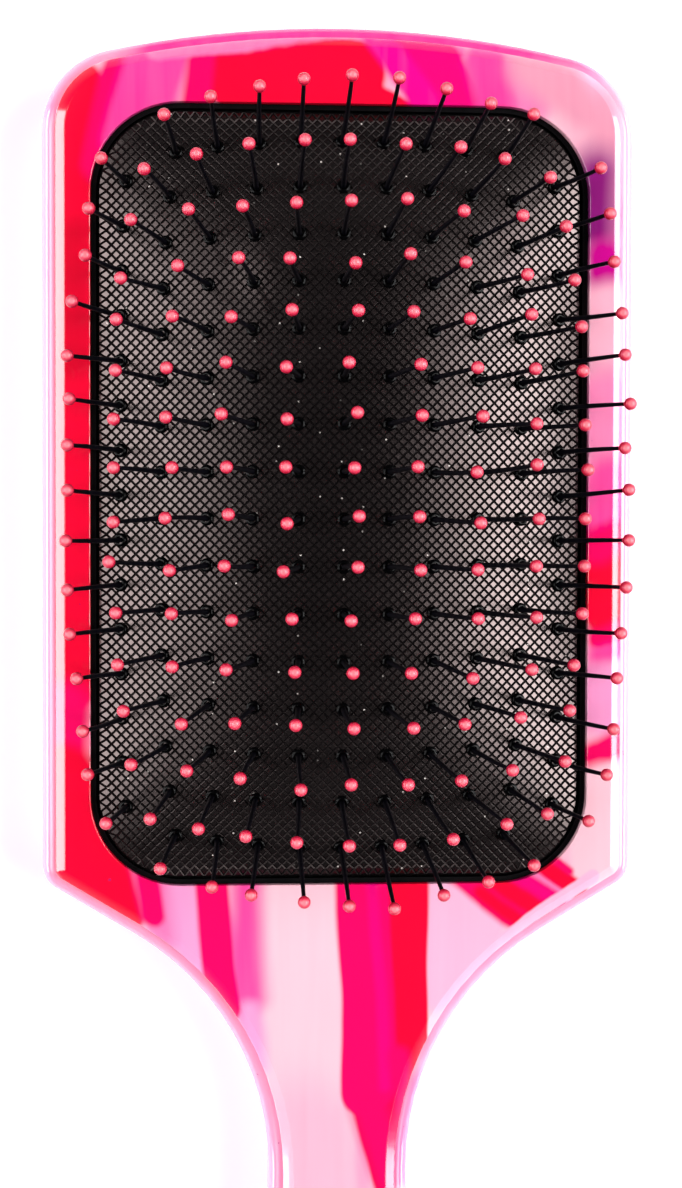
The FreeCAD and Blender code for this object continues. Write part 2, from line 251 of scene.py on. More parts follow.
def half_outline():
    """The right side of the outline, from the middle of the top edge to the end of the grip."""
    crown_y = HEAD_TOP - CROWN_RADIUS
    corner_x = HEAD_HALF - TOP_CORNER
    corner_y = crown_y + math.sqrt((CROWN_RADIUS - TOP_CORNER) ** 2 - corner_x**2)
    corner_start = math.degrees(math.atan2(corner_y - crown_y, corner_x))
    slope = math.radians(SHOULDER_SLOPE)
    low_end_x = HEAD_HALF - LOW_CORNER + LOW_CORNER * math.sin(slope)
    low_end_y = LOW_CORNER_Y - LOW_CORNER * math.cos(slope)
    sweep_x = NECK_HALF + SWEEP_RADIUS
    run = low_end_x - (sweep_x - SWEEP_RADIUS * math.sin(slope))
    sweep_y = low_end_y - run * math.tan(slope) - SWEEP_RADIUS * math.cos(slope)
    swell = 2 * math.degrees(math.atan((GRIP_HALF - NECK_HALF) / SWELL_LENGTH))
    swell_radius = SWELL_LENGTH / (2 * math.sin(math.radians(swell)))
    arcs = [
        ((0, crown_y), CROWN_RADIUS, 1, 90, corner_start),
        ((corner_x, corner_y), TOP_CORNER, 1, corner_start, 0),
        ((HEAD_HALF - LOW_CORNER, LOW_CORNER_Y), LOW_CORNER, 1, 0, SHOULDER_SLOPE - 90),
        ((sweep_x, sweep_y), SWEEP_RADIUS, -1, 90 + SHOULDER_SLOPE, 180),
        ((NECK_HALF + swell_radius, sweep_y), swell_radius, -1, 180, 180 + swell),
        ((GRIP_HALF - swell_radius, sweep_y - SWELL_LENGTH), swell_radius, 1, swell, 0),
        ((0, GRIP_HALF - HEAD_TOP), GRIP_HALF, 1, 0, -90),
    ]
    samples = []
    for centre, radius, bulge, start, end in arcs:
        on_arc = arc_samples(centre, radius, bulge, start, end)
        if samples:
            gap = (samples[-1].drawn_in(0, False) - on_arc[0].drawn_in(0, False)).length
            on_arc = on_arc[1:] if gap < 1e-6 else on_arc
        samples.extend(on_arc)
    return samples


HALF_OUTLINE = half_outline()


def paddle_ring(inset, height):
    """The whole outline at an inset and a height, anticlockwise."""
    right = [sample.drawn_in(inset, False) for sample in HALF_OUTLINE]
    left = [sample.drawn_in(inset, True) for sample in HALF_OUTLINE]
    loop = left + right[-2:0:-1]
    return [Vector((place.x, place.y, height)) for place in loop]


def recess_ring(inset, height, steps=14):
    """The recess outline at an inset and a height, anticlockwise."""
    ring = []
    for quarter, (side_x, side_y) in enumerate(((1, 1), (-1, 1), (-1, -1), (1, -1))):
        centre_x = side_x * (RECESS_HALF_X - RECESS_CORNER)
        centre_y = CUSHION_Y + side_y * (RECESS_HALF_Y - RECESS_CORNER)
        for i in range(steps + 1):
            angle = math.pi / 2 * (quarter + i / steps)
            reach = RECESS_CORNER - inset
            ring.append(
                Vector((centre_x + reach * math.cos(angle), centre_y + reach * math.sin(angle), height))
            )
    return ring


# ---------------------------------------------------------------- shells

def make_front_shell(material):
    """The flat face with its bevelled edge, and the opening for the cushion with a softened lip."""
    points, faces = [], []
    low_z = PARTING_Z + PARTING_GAP
    outside = rounded_profile(
        [
            (RIM_ROUND + PARTING_GAP, low_z),
            (RIM_ROUND + PARTING_GAP, FACE_Z - FACE_BEVEL + BEVEL_EASE),
            (RIM_ROUND + FACE_BEVEL, FACE_Z),
            (RIM_ROUND + FACE_BEVEL + 1.2 * MM, FACE_Z),
        ],
        0.3 * MM,
    )
    rings = [paddle_ring(inset, height) for inset, height in outside[:-1]]
    bottom_outer, top_outer = loft(rings, points, faces)

    lip = rounded_profile([(-1.0 * MM, FACE_Z), (0, FACE_Z), (0, low_z)], 0.22 * MM)
    rings = [recess_ring(inset, height) for inset, height in lip[1:]]
    top_inner, bottom_inner = loft(rings, points, faces)

    faces.extend(fill_between(points, top_outer, top_inner))
    faces.extend(fill_between(points, bottom_outer, bottom_inner))
    return add_piece("front_shell_marbled", points, faces, material, crease=25)


def quarter_round(centre, radius, start, end, steps):
    """(inset, height) points of a quarter circle in the section."""
    return [
        (
            centre[0] + radius * math.cos(math.radians(start + (end - start) * i / steps)),
            centre[1] + radius * math.sin(math.radians(start + (end - start) * i / steps)),
        )
        for i in range(steps + 1)
    ]


def make_back_shell(material):
    """The tub behind the face: a flat back, a big round, side walls and a rounded rim."""
    points, faces = [], []
    section = quarter_round((BACK_ROUND, BACK_ROUND), BACK_ROUND, 270, 180, 10)
    section += quarter_round((RIM_ROUND, PARTING_Z - RIM_ROUND), RIM_ROUND, 180, 90, 8)
    section += [(SHELL_WALL, PARTING_Z), (SHELL_WALL, BACK_WALL)]
    rings = [paddle_ring(inset, height) for inset, height in section]
    back_loop, floor_loop = loft(rings, points, faces)
    faces.extend(fill_between(points, back_loop))
    faces.extend(fill_between(points, floor_loop))
    return add_piece("back_shell_marbled", points, faces, material, crease=25)


# ---------------------------------------------------------------- pins of the frame

def islands(node):
    """The separate solids of a CAD node, each as a list of its points."""
    work = bmesh.new()
    work.from_mesh(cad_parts[node].data)
    bmesh.ops.remove_doubles(work, verts=work.verts[:], dist=1e-6)
    seen = set()
    found = []
    for start in work.verts:
        if start in seen:
            continue
        seen.add(start)
        island, waiting = [], [start]
        while waiting:
            vert = waiting.pop()
            island.append(vert.co.copy())
            for edge in vert.link_edges:
                other = edge.other_vert(vert)
                if other not in seen:
                    seen.add(other)
                    waiting.append(other)
        found.append(island)
    work.free()
    return found


def middle_of(places):
    """Centre of the box round some points."""
    low = Vector([min(place[axis] for place in places) for axis in range(3)])
    high = Vector([max(place[axis] for place in places) for axis in range(3)])
    return (low + high) / 2


def pin_lines(number):
    """(foot on the cushion's surface, ball centre) of every pin in a column, from the top down."""
    balls = sorted((middle_of(island) for island in islands(f"tip_column_{number}")), key=lambda b: -b.y)
    stems = sorted(islands(f"pin_column_{number}"), key=lambda island: -middle_of(island).y)
    lines = []
    for ball, stem in zip(balls, stems):
        along = (ball - sum(stem, Vector()) / len(stem)).normalized()
        root = min((place - ball).dot(along) for place in stem)
        lines.append((ball + along * (root + PIN_ROOT), ball))
    return lines


COLUMN_NUMBERS = sorted(name[-2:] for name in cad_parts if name.startswith("pin_column_"))
PINS = {number: pin_lines(number) for number in COLUMN_NUMBERS}


def lathe(profile, place_at, sides, points, faces):
    """Turns (radius, distance) pairs about a centre line, and closes both ends.

    place_at gives the centre and two cross directions at a distance along the line.
    """
    rings = []
    for radius, distance in profile:
        centre, side, front = place_at(distance)
        rings.append(
            [
                centre
                + side * (radius * math.cos(2 * math.pi * i / sides))
                + front * (radius * math.sin(2 * math.pi * i / sides))
                for i in range(sides)
            ]
        )
    start_loop, end_loop = loft(rings, points, faces)
    faces.append(tuple(reversed(start_loop)))
    faces.append(tuple(end_loop))


def straight_line(start, along):
    """place_at for a straight centre line."""
    side = along.cross(Vector((0, 1, 0))).normalized()
    front = along.cross(side).normalized() * -1
    return lambda distance: (start + along * distance, side, front)


# ---------------------------------------------------------------- rubber cushion

def pad_height(x, y):
    """Height of the cushion's surface, x and y from its centre."""
    across = 1 - (x / PAD_HALF_X) ** 2
    along = 1 - (y / PAD_HALF_Y) ** 4
    return PAD_EDGE_Z + PAD_CROWN * across * along


def nearest_on_edge(place, inset):
    """(point on the pad's outline drawn in by an inset, outward direction, distance inside it)."""
    corner = PAD_CORNER - inset
    flat_x = PAD_HALF_X - inset - corner
    flat_y = PAD_HALF_Y - inset - corner
    x, y = abs(place.x), abs(place.y)
    over = Vector((max(x - flat_x, 0), max(y - flat_y, 0)))
    if over.x and over.y:
        out = over.normalized()
        edge = Vector((flat_x, flat_y)) + out * corner
    elif PAD_HALF_X - x < PAD_HALF_Y - y:
        out = Vector((1, 0))
        edge = Vector((PAD_HALF_X - inset, y))
    else:
        out = Vector((0, 1))
        edge = Vector((x, PAD_HALF_Y - inset))
    inside = (edge - Vector((x, y))).dot(out)
    signs = Vector((math.copysign(1, place.x), math.copysign(1, place.y)))
    return edge * signs, out * signs, inside


def on_pad(place, height):
    """A point given from the cushion's centre, in the frame."""
    return Vector((place.x, place.y + CUSHION_Y, height))


def grid_place(i, j):
    """A corner of the square grid that is turned by 45 degrees."""
    return Vector(((i + j) * KNURL_PITCH, (i - j) * KNURL_PITCH)) / math.sqrt(2)


def knurl_cells():
    """The squares of the grid that a pyramid stands on, each by the number of its first corner."""
    reach = math.ceil((PAD_HALF_X + PAD_HALF_Y) / math.sqrt(2) / KNURL_PITCH) + 1
    cells = []
    for i in range(-reach, reach):
        for j in range(-reach, reach):
            middle = grid_place(i + 0.5, j + 0.5)
            if abs(middle.x) < PAD_HALF_X and abs(middle.y) < PAD_HALF_Y:
                if nearest_on_edge(middle, KNURL_MARGIN)[2] > 0.1 * KNURL_PITCH:
                    cells.append((i, j))
    return cells


def knurl_corners(cells, points):
    """Every corner of the cells: its place and the numbers of its upper and lower point.

    A corner that fewer than four cells share is drawn to the edge of the field.
    """
    sharing = {}
    for i, j in cells:
        for corner in ((i, j), (i + 1, j), (i + 1, j + 1), (i, j + 1)):
            sharing[corner] = sharing.get(corner, 0) + 1
    corner_points = {}
    for corner, count in sharing.items():
        place = grid_place(*corner)
        if count < 4:
            place = nearest_on_edge(place, KNURL_MARGIN)[0]
        height = pad_height(place.x, place.y)
        corner_points[corner] = (place, len(points), len(points) + 1)
        points.append(on_pad(place, height))
        points.append(on_pad(place, height - PAD_WALL))
    return corner_points


def knurled_field(points, faces):
    """The blunt pyramids, with the flat underside below them. They are lower near the edge.

    Returns the border's edges and, for each of its corners, its place and its two point numbers.
    """
    cells = knurl_cells()
    corner_points = knurl_corners(cells, points)
    border = set()
    for i, j in cells:
        corners = [(i, j), (i, j + 1), (i + 1, j + 1), (i + 1, j)]
        middle = sum((corner_points[corner][0] for corner in corners), Vector((0, 0))) / 4
        inside = nearest_on_edge(middle, KNURL_MARGIN)[2]
        rise = KNURL_HEIGHT * min(1, 0.4 + inside / (2 * KNURL_PITCH))
        first = len(points)
        for corner in corners:
            place = middle + (corner_points[corner][0] - middle) * KNURL_FLAT
            points.append(on_pad(place, pad_height(place.x, place.y) + rise))
        faces.append((first + 3, first + 2, first + 1, first))
        for k in range(4):
            this, following = corners[k], corners[(k + 1) % 4]
            low, high = corner_points[this][1], corner_points[following][1]
            faces.append((first + k, first + (k + 1) % 4, high, low))
            if (following, this) in border:
                border.remove((following, this))
            else:
                border.add((this, following))
        faces.append(tuple(corner_points[corner][2] for corner in corners))
    return border, corner_points


def add_margin(border, corner_points, points, faces):
    """The smooth strip round the field, over the lip, down the side and back under the membrane."""
    lip = quarter_round((LIP_ROUND, -LIP_ROUND), LIP_ROUND, 90, 180, 4)
    rows = {}
    for this, _ in sorted(border):
        place, top, under = corner_points[this]
        edge, out, _ = nearest_on_edge(place, 0)
        rim_z = pad_height(place.x, place.y)
        rows[this] = [top]
        for inset, drop in lip:
            rows[this].append(len(points))
            points.append(on_pad(edge - out * inset, rim_z + drop))
        for inset in (0, PAD_WALL):
            rows[this].append(len(points))
            points.append(on_pad(edge - out * inset, pad_low.z))
        rows[this].append(under)
    for this, following in sorted(border):
        near, far = rows[this], rows[following]
        for k in range(len(near) - 1):
            faces.append((near[k], far[k], far[k + 1], near[k + 1]))


def give_with_cushion(piece):
    """Bakes the piece's placing into its own points."""
    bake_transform(piece)


def shade_flanks(cushion, material):
    """Gives faces that lean away from the dome, such as the pyramids' sides, a second material."""
    cushion.data.materials.append(material)
    step = 0.1 * MM
    for polygon in cushion.data.polygons:
        x, y = polygon.center.x, polygon.center.y - CUSHION_Y
        fall_x = pad_height(x - step, y) - pad_height(x + step, y)
        fall_y = pad_height(x, y - step) - pad_height(x, y + step)
        if polygon.normal.angle(Vector((fall_x, fall_y, 2 * step))) > math.radians(15):
            polygon.material_index = 1


def make_cushion(top_material, flank_material):
    """The domed membrane with its pyramids."""
    points, faces = [], []
    border, corner_points = knurled_field(points, faces)
    add_margin(border, corner_points, points, faces)
    cushion = add_piece("cushion", points, faces, top_material, crease=15)
    shade_flanks(cushion, flank_material)
    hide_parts("cushion_pad")
    give_with_cushion(cushion)


def make_collars(material):
    """The raised smooth rubber collar round every pin, with a well that the pin stands in."""
    points, faces = [], []
    collar = [(COLLAR_RADIUS * 1.15, -COLLAR_FOOT), (COLLAR_RADIUS, WELL_FLOOR)]
    collar += [
        (
            COLLAR_RADIUS - COLLAR_ROUND * (1 - math.cos(math.radians(turn))),
            COLLAR_HEIGHT - COLLAR_ROUND * (1 - math.sin(math.radians(turn))),
        )
        for turn in (0, 30, 60, 90)
    ]
    collar += [(PIN_FOOT + WELL_GAP_TOP, COLLAR_HEIGHT), (PIN_FOOT + WELL_GAP_FLOOR, WELL_FLOOR)]
    for lines in PINS.values():
        for foot, ball in lines:
            line = straight_line(foot, (ball - foot).normalized())
            lathe(collar, line, COLLAR_SIDES, points, faces)
    collars = add_piece("pin_collars", points, faces, material)
    give_with_cushion(collars)


# ---------------------------------------------------------------- pins and ball tips

def bowed_line(foot, ball, bow):
    """place_at for a centre line from a pin's foot to its ball, bent sideways most at half way."""
    straight = straight_line(foot, (ball - foot).normalized())
    length = (ball - foot).length

    def place_at(distance):
        centre, side, front = straight(distance)
        part = min(max(distance / length, 0), 1)
        return centre + bow * (4 * part * (1 - part)), side, front

    return place_at


def stem_profile(length):
    """(radius, distance) pairs of a pin: the head under the membrane and the tapered shaft."""
    head_top = PIN_HEAD_THICK - PIN_ROOT
    profile = [(PIN_HEAD, -PIN_ROOT), (PIN_HEAD, head_top), (PIN_FOOT, head_top + 0.02 * MM)]
    for step in range(11):
        radius = PIN_FOOT + (PIN_NECK - PIN_FOOT) * step / 10
        profile.append((radius, (length - 0.3 * MM) * step / 10))
    return profile


def tip_profile():
    """(radius, distance) pairs of a ball tip: a short sleeve on the pin, and the ball."""
    profile = [(PIN_NECK + 0.10 * MM, -1.15 * MM), (PIN_NECK + 0.16 * MM, -0.95 * MM)]
    for turn in (28, 40, 52, 64, 77, 90, 103, 116, 129, 142, 155, 167, 176):
        radius = BALL_RADIUS * math.sin(math.radians(turn))
        profile.append((radius, -BALL_RADIUS * math.cos(math.radians(turn))))
    return profile


def make_columns(stem_material, tip_material):
    """One piece of pins and one of ball tips for each column. Each pin wanders and bows a little."""
    for number, lines in PINS.items():
        stem_points, stem_faces, tip_points, tip_faces = [], [], [], []
        for foot, ball in lines:
            ball = ball + Vector((random.gauss(0, PIN_WANDER), random.gauss(0, PIN_WANDER), 0))
            bow = Vector((random.uniform(-1, 1), random.uniform(-1, 1), 0)) * PIN_BOW
            stem = stem_profile((ball - foot).length)
            lathe(stem, bowed_line(foot, ball, bow), PIN_SIDES, stem_points, stem_faces)
            ball_line = straight_line(ball, (ball - foot).normalized())
            lathe(tip_profile(), ball_line, BALL_SIDES, tip_points, tip_faces)
        stems = add_piece(f"pins_{number}", stem_points, stem_faces, stem_material)
        tips = add_piece(f"tips_{number}", tip_points, tip_faces, tip_material, crease=60)
        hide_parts(f"pin_column_{number}")
        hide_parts(f"tip_column_{number}")
        for piece in (stems, tips):
            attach(piece, f"column_{number}")


# ---------------------------------------------------------------- node helpers

def linear(value):
    """A display value from 0 to 255 as linear light from 0 to 1."""
    if value > 10:
        return ((value / 255 + 0.055) / 1.055) ** 2.4
    return value / 255 / 12.92


def colour(red, green, blue):
    """Linear colour from the usual 0 to 255 values."""
    return (linear(red), linear(green), linear(blue), 1)


def set_inputs(tree, node, inputs):
    """inputs maps a socket's name or number to a value or to another node's output."""
    for socket, value in dict(inputs).items():
        if isinstance(value, bpy.types.NodeSocket):
            tree.links.new(value, node.inputs[socket])
        else:
            node.inputs[socket].default_value = value


def put(tree, kind, inputs=(), **settings):
    """Adds a node with these inputs, as set_inputs takes them, and these settings."""
    node = tree.nodes.new(kind)
    for name, value in settings.items():
        setattr(node, name, value)
    set_inputs(tree, node, inputs)
    return node


def calculate(tree, operation, *values, clamp=False):
    """A Math node's output."""
    return put(tree, "ShaderNodeMath", enumerate(values), operation=operation, use_clamp=clamp).outputs[0]


def vectors(tree, operation, *values, output=0):
    """A Vector Math node's output."""
    return put(tree, "ShaderNodeVectorMath", enumerate(values), operation=operation).outputs[output]


def noise(tree, place, scale, detail=2.0, roughness=0.5, distortion=0.0):
    """A Noise Texture node. Its outputs are 0, the factor, and 1, the colour."""
    inputs = {
        "Vector": place,
        "Scale": scale,
        "Detail": detail,
        "Roughness": roughness,
        "Distortion": distortion,
    }
    return put(tree, "ShaderNodeTexNoise", inputs)


def blend_colours(tree, factor, below, above):
    """A Mix node of two colours."""
    return put(tree, "ShaderNodeMix", {0: factor, 6: below, 7: above}, data_type="RGBA").outputs[2]


def soft_step(tree, value, low, high):
    """0 below low, 1 above high and smooth between them."""
    inputs = {"Value": value, "From Min": low, "From Max": high}
    return put(tree, "ShaderNodeMapRange", inputs, interpolation_type="SMOOTHSTEP").outputs[0]


def new_material(name):
    """(material, node tree, shader, place in millimetres) of a new material."""
    material = bpy.data.materials.new(name)
    material.use_nodes = True
    tree = material.node_tree
    shader = tree.nodes["Principled BSDF"]
    own_place = put(tree, "ShaderNodeTexCoord").outputs["Object"]
    place = vectors(tree, "MULTIPLY", own_place, (1000, 1000, 1000))
    return material, tree, shader, place


def set_bump(tree, shader, height, strength, distance):
    """Wires a height into the shader's normal."""
    inputs = {"Height": height, "Strength": strength, "Distance": distance}
    bump = put(tree, "ShaderNodeBump", inputs)
    tree.links.new(bump.outputs[0], shader.inputs["Normal"])


# ---------------------------------------------------------------- materials

# Dust, in millimetres: the pitch of the places where a grain may lie, and a grain's radii.
DUST_PITCH = 3.0
DUST_REACH = 0.16
DUST_CORE = 0.07

RED = colour(255, 0, 52)
CRIMSON = colour(232, 0, 44)
HOT_PINK = colour(255, 0, 98)
MAGENTA = colour(238, 0, 118)
CERISE = colour(252, 84, 160)
ORCHID = colour(251, 128, 182)
ROSE = colour(252, 140, 186)
PALE = colour(255, 182, 204)
BLUSH = colour(255, 198, 212)
PEARL = colour(250, 182, 212)
LILAC = colour(236, 156, 180)
PETAL = colour(252, 158, 206)
PURPLE = colour(142, 36, 120)
VIOLET = colour(206, 18, 142)
FUCHSIA = colour(254, 48, 148)
ORCHID_MIST = colour(250, 174, 210)
PINK_MIST = colour(250, 166, 200)
DUST = colour(236, 228, 222)
WARM_SHEEN = (1.0, 0.79, 0.77, 1)  # tints the gloss of the rubber


def streak_group():
    """A node group: how much a place is covered by a straight soft-edged streak."""
    group = bpy.data.node_groups.new("streak", "ShaderNodeTree")
    for name in ("Place", "From", "To"):
        group.interface.new_socket(name, in_out="INPUT", socket_type="NodeSocketVector")
    for name in ("Half width", "Edge"):
        group.interface.new_socket(name, in_out="INPUT", socket_type="NodeSocketFloat")
    group.interface.new_socket("Cover", in_out="OUTPUT", socket_type="NodeSocketFloat")
    given = put(group, "NodeGroupInput").outputs
    along = vectors(group, "SUBTRACT", given["To"], given["From"])
    offset = vectors(group, "SUBTRACT", given["Place"], given["From"])
    run = vectors(group, "DOT_PRODUCT", offset, along, output=1)
    square = vectors(group, "DOT_PRODUCT", along, along, output=1)
    part = calculate(group, "DIVIDE", run, square, clamp=True)
    scaled = put(group, "ShaderNodeVectorMath", {0: along, "Scale": part}, operation="SCALE").outputs[0]
    away = vectors(group, "LENGTH", vectors(group, "SUBTRACT", offset, scaled), output=1)
    outer = calculate(group, "ADD", given["Half width"], given["Edge"])
    inner = calculate(group, "SUBTRACT", given["Half width"], given["Edge"])
    cover = soft_step(group, away, outer, inner)
    put(group, "NodeGroupOutput", {"Cover": cover})
    return group


# Streaks: colour, from (x, y), to (x, y), half width, edge softness, in millimetres.
# y is measured from the middle of the cushion. Later ones lie over earlier ones.
FACE_STREAKS = [
    # left side, from the top corner down
    (RED, (-40, 56), (-40, -24), 7.0, 0.8),
    (CRIMSON, (-38, 36), (-38, 19), 2.4, 2.0),
    (HOT_PINK, (-40, -31), (-40, -35), 4.4, 1.8),
    (RED, (-40, -41), (-39, -46), 6.0, 1.2),
    (RED, (-38, -48), (-33.4, -57), 4.6, 0.9),
    (RED, (-33, -50), (-30, -60), 2.4, 0.7),
    (HOT_PINK, (-30.5, 64), (-34.5, 46), 2.4, 1.0),
    (CERISE, (-25.5, 64), (-29.5, 50), 4.4, 1.2),
    # top edge
    (RED, (-13.5, 60), (-0.5, 60), 6.6, 0.6),
    (HOT_PINK, (-20.0, 64), (-21.2, 53), 1.9, 0.8),
    (ORCHID, (-26, 62.9), (0, 65.4), 1.5, 0.6),
    (ORCHID, (0, 65.4), (16, 64.6), 1.5, 0.6),
    (RED, (0, 57), (8.6, 54), 2.4, 0.6),
    (MAGENTA, (11, 63), (16, 56), 5.2, 0.9),
    (FUCHSIA, (5.2, 65), (11.4, 56.5), 2.2, 0.9),
    (CERISE, (20.5, 63), (23, 56), 3.4, 1.4),
    (ORCHID, (26.5, 62), (27.5, 56), 2.4, 1.8),
    (LILAC, (28, 62), (35, 56), 4.2, 2.0),
    (PEARL, (38.5, 55), (34.5, 62), 1.6, 1.5),
    # right side, from the top corner down
    (LILAC, (38.5, 55), (38.5, 52), 3.4, 2.4),
    (PURPLE, (36.5, 46), (36.5, 38.5), 3.4, 2.8),
    (VIOLET, (38, 34), (38, 32), 3.0, 1.8),
    (PALE, (38.5, 26), (38.5, 21), 4.4, 2.0),
    (ROSE, (38.5, 14), (38.5, 9), 4.4, 2.4),
    (CERISE, (38.5, 2), (38.5, -2), 3.8, 2.2),
    (RED, (38.5, -11), (38.5, -16), 4.2, 1.2),
    (HOT_PINK, (40, -6), (37, -7.5), 2.4, 1.4),
    (HOT_PINK, (40, -19), (37, -20.5), 1.5, 0.9),
    (CERISE, (40, -21.4), (37, -22.8), 1.2, 1.0),
    (PETAL, (38.5, -27.5), (38.5, -30.5), 3.6, 1.6),
    (HOT_PINK, (41, -34.6), (35.5, -37.6), 2.0, 1.0),
    (BLUSH, (38.5, -43), (38.5, -54), 5.2, 1.4),
    # under the cushion, left to right
    (ORCHID, (-28, -50), (-24.5, -62), 3.0, 1.2),
    (PETAL, (-22.5, -50), (-20, -70), 2.9, 1.4),
    (HOT_PINK, (-28.6, -50), (-26.8, -60), 1.5, 0.7),
    (BLUSH, (-5, -54), (-5, -82), 7.0, 1.6),
    (PALE, (-5, -92), (-5, -150), 9.0, 5.0),
    (CERISE, (-13.9, -52), (-13, -72), 2.2, 2.0),
    (PETAL, (-13, -74), (-12, -82), 1.3, 1.3),
    (HOT_PINK, (-19.4, -50), (-16.6, -74), 2.3, 0.5),
    (PEARL, (19.5, -54), (15, -68), 6.0, 1.2),
    # the long band that runs into the handle
    (RED, (6.4, -50), (6.8, -80), 6.1, 0.35),
    (RED, (7.0, -80), (12.0, -99), 6.4, 0.5),
    (HOT_PINK, (3.0, -46), (4.2, -84), 4.0, 0.5),
    (HOT_PINK, (4.4, -86), (9.6, -103), 2.6, 1.6),
    (MAGENTA, (4.6, -52), (6.6, -84), 0.9, 0.7),
    (HOT_PINK, (8.4, -80), (11.5, -98), 1.5, 1.0),
    (RED, (9, -116), (3, -152), 3.4, 1.2),
    (HOT_PINK, (-8, -128), (-11, -160), 2.2, 1.2),
    # slanting streaks at the lower right, cut off by a painted highlight along the bevel
    (HOT_PINK, (17, -51), (28.5, -59), 4.6, 0.7),
    (RED, (19.8, -56.5), (26.3, -61.1), 1.0, 0.7),
    (RED, (22.1, -54.9), (29.5, -60), 1.2, 0.6),
    (MAGENTA, (25.1, -54.1), (31.7, -58.7), 0.8, 0.6),
    (ORCHID, (27.7, -54), (33.4, -57.9), 0.5, 0.6),
    (RED, (28.5, -52.2), (35, -57.3), 1.3, 0.5),
    (HOT_PINK, (29.6, -51.2), (33.5, -54.2), 0.6, 0.5),
    # Painted highlight: a thin pale line along the inner edge of the lower right bevel.
    (PEARL, (18, -66.3), (37, -55.3), 1.05, 0.25),
]

BACK_STREAKS = [
    (CERISE, (-30, 68), (34, 68), 7.0, 3.0),
    (PINK_MIST, (-42, 60), (-34, 66), 5.0, 2.5),
    (ORCHID_MIST, (-44, 50), (-44, -50), 4.6, 1.6),
    (ORCHID_MIST, (44, 48), (44, -50), 4.6, 1.6),
    (PINK_MIST, (-42, -54), (-14, -76), 6.0, 1.6),
    (PINK_MIST, (-14, -80), (-13, -130), 6.0, 1.6),
    (PINK_MIST, (42, -54), (16, -76), 6.0, 1.6),
    (ROSE, (13, -86), (14, -112), 3.4, 1.4),
]


def marble_clouds(tree, place, stops):
    """Wide soft clouds, drawn out along the brush, in the colours of (position, colour) stops."""
    wide = noise(tree, vectors(tree, "MULTIPLY", place, (1.0, 0.42, 0.8)), 0.07, 1.0, 0.5, 1.2)
    ramp = put(tree, "ShaderNodeValToRGB", {0: wide.outputs[0]})
    ramp.color_ramp.interpolation = "EASE"
    while len(ramp.color_ramp.elements) < len(stops):
        ramp.color_ramp.elements.new(0.5)
    for element, (position, shade) in zip(ramp.color_ramp.elements, stops):
        element.position = position
        element.color = shade
    return ramp.outputs[0]


def wander(tree, place, stretch, scale, reach):
    """An uneven shift of up to half the reach each way, as plastic folds into itself in the mould."""
    uneven = noise(tree, vectors(tree, "MULTIPLY", place, stretch), scale, 1.0, 0.4).outputs[1]
    return vectors(tree, "MULTIPLY", vectors(tree, "SUBTRACT", uneven, (0.5, 0.5, 0.5)), reach)


def lay_streaks(tree, place, mixed, streaks):
    """The streaks laid over a colour, one after another, with slow waves and a slight tremble."""
    shift = wander(tree, place, (1.0, 0.6, 1.0), 0.06, (3.0, 5.0, 0))
    tremble = wander(tree, place, (1.0, 0.25, 1.0), 0.5, (0.35, 0.35, 0))
    flat = vectors(tree, "MULTIPLY", place, (1, 1, 0))
    warped = vectors(tree, "ADD", vectors(tree, "ADD", flat, shift), tremble)
    middle_y = CUSHION_Y / MM
    for shade, (x0, y0), (x1, y1), half_width, edge in streaks:
        inputs = {
            "Place": warped,
            "From": (x0, y0 + middle_y, 0),
            "To": (x1, y1 + middle_y, 0),
            "Half width": half_width,
            "Edge": edge,
        }
        streak = tree.nodes.new("ShaderNodeGroup")
        streak.node_tree = bpy.data.node_groups["streak"]
        set_inputs(tree, streak, inputs)
        mixed = blend_colours(tree, streak.outputs[0], mixed, shade)
    return mixed


def flow_lines(tree, place, mixed):
    """Faint lines along the flow of the plastic, and a few dark specks, over a colour."""
    flow = noise(tree, vectors(tree, "MULTIPLY", place, (1.0, 0.07, 1.0)), 0.5, 2.0, 0.5, 0.3).outputs[0]
    inputs = {
        "Color": mixed,
        "Value": calculate(tree, "MULTIPLY_ADD", flow, 0.06, 0.97),
        "Saturation": calculate(tree, "MULTIPLY_ADD", flow, -0.10, 1.08),
    }
    lined = put(tree, "ShaderNodeHueSaturation", inputs).outputs[0]
    speck = soft_step(tree, noise(tree, place, 0.9, 1.0).outputs[0], 0.80, 0.84)
    return blend_colours(tree, calculate(tree, "MULTIPLY", speck, 0.5), lined, PURPLE)


def make_marble(name, streaks, stops):
    """Glossy plastic swirled in reds and pinks: wide clouds with set streaks over them."""
    material, tree, shader, place = new_material(name)
    clouds = marble_clouds(tree, place, stops)
    mixed = lay_streaks(tree, place, clouds, streaks)
    tree.links.new(flow_lines(tree, place, mixed), shader.inputs["Base Color"])
    grain = noise(tree, place, 1.4, 2.0).outputs[0]
    tree.links.new(calculate(tree, "MULTIPLY_ADD", grain, 0.08, 0.10), shader.inputs["Roughness"])
    shader.inputs["Coat Weight"].default_value = 0.5
    shader.inputs["Coat Roughness"].default_value = 0.06
    set_bump(tree, shader, grain, 0.06, 0.05 * MM)
    return material


def dusted(tree, place, base):
    """A colour with pale grains of dust scattered over it."""
    inputs = {"Vector": place, "Scale": 1 / DUST_PITCH}
    cells = put(tree, "ShaderNodeTexVoronoi", inputs, voronoi_dimensions="2D").outputs
    grain = soft_step(tree, cells["Distance"], DUST_REACH / DUST_PITCH, DUST_CORE / DUST_PITCH)
    chance = put(tree, "ShaderNodeSeparateColor", {0: cells["Color"]}).outputs[0]
    present = soft_step(tree, chance, 0.78, 0.96)
    return blend_colours(tree, calculate(tree, "MULTIPLY", grain, present), base, DUST)


